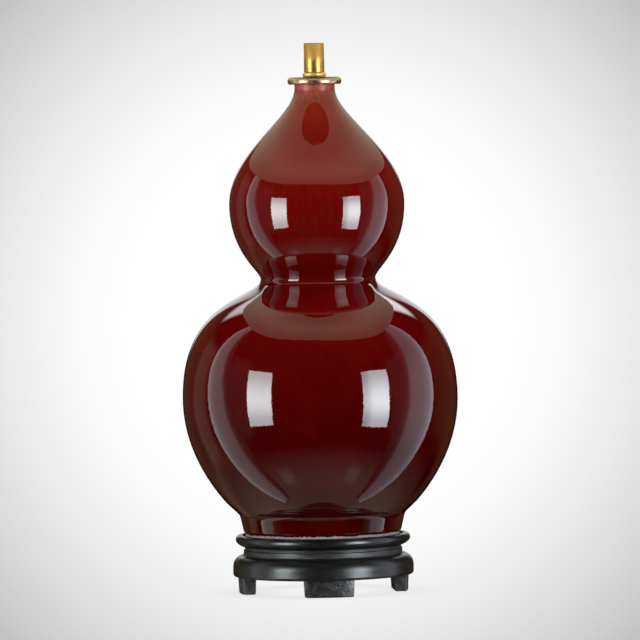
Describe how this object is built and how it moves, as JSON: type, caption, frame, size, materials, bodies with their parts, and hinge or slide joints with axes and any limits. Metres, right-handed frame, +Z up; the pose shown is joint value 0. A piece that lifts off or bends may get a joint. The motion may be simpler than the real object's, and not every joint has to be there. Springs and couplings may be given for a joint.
{
  "type": "table lamp base",
  "caption": "Double gourd table lamp base: hollow glazed stoneware body on a turned wooden stand with block feet, clamped by a hollow rod under a brass cap and threaded spigot.",
  "frame": {"origin": "on the table, below the lamp's axis: the middle of the footprint of the whole lamp base", "axes": "+Z up along the turned axis and the rod; -Y is the front, towards the foot that the picture shows in front; +X is to the right seen from the front"},
  "size_m": [0.2176, 0.2176, 0.4338],
  "materials": {
    "oxblood_glaze": "deep glossy copper-red glaze, thinner and paler at the neck, bare clay on the foot ring",
    "brass": "polished",
    "cap_brass": "polished, paler and slightly bronzed",
    "black_wood": "satin black lacquer over turned and cut hardwood",
    "beech": "bare dowel",
    "felt": "pressed felt",
    "rubber": "matt moulded rubber",
    "zinc_steel": "bright zinc plate",
    "nylon": "moulded black nylon"
  },
  "bodies": {
    "root": {"spigot": "brass", "ring_nut": "brass", "vase_cap": "cap_brass", "neck_bush": "rubber", "gourd": "oxblood_glaze", "foot_felt": "felt", "stand_rim": "black_wood", "stand_waist": "black_wood", "stand_skirt": "black_wood", "foot_front": "black_wood", "foot_right": "black_wood", "foot_back": "black_wood", "foot_left": "black_wood", "foot_dowels": "beech", "stand_screws": "zinc_steel", "threaded_rod": "zinc_steel", "penny_washer": "zinc_steel", "spring_washer": "zinc_steel", "rod_nut": "zinc_steel", "rod_end_cap": "nylon"}
  },
  "joints": []
}
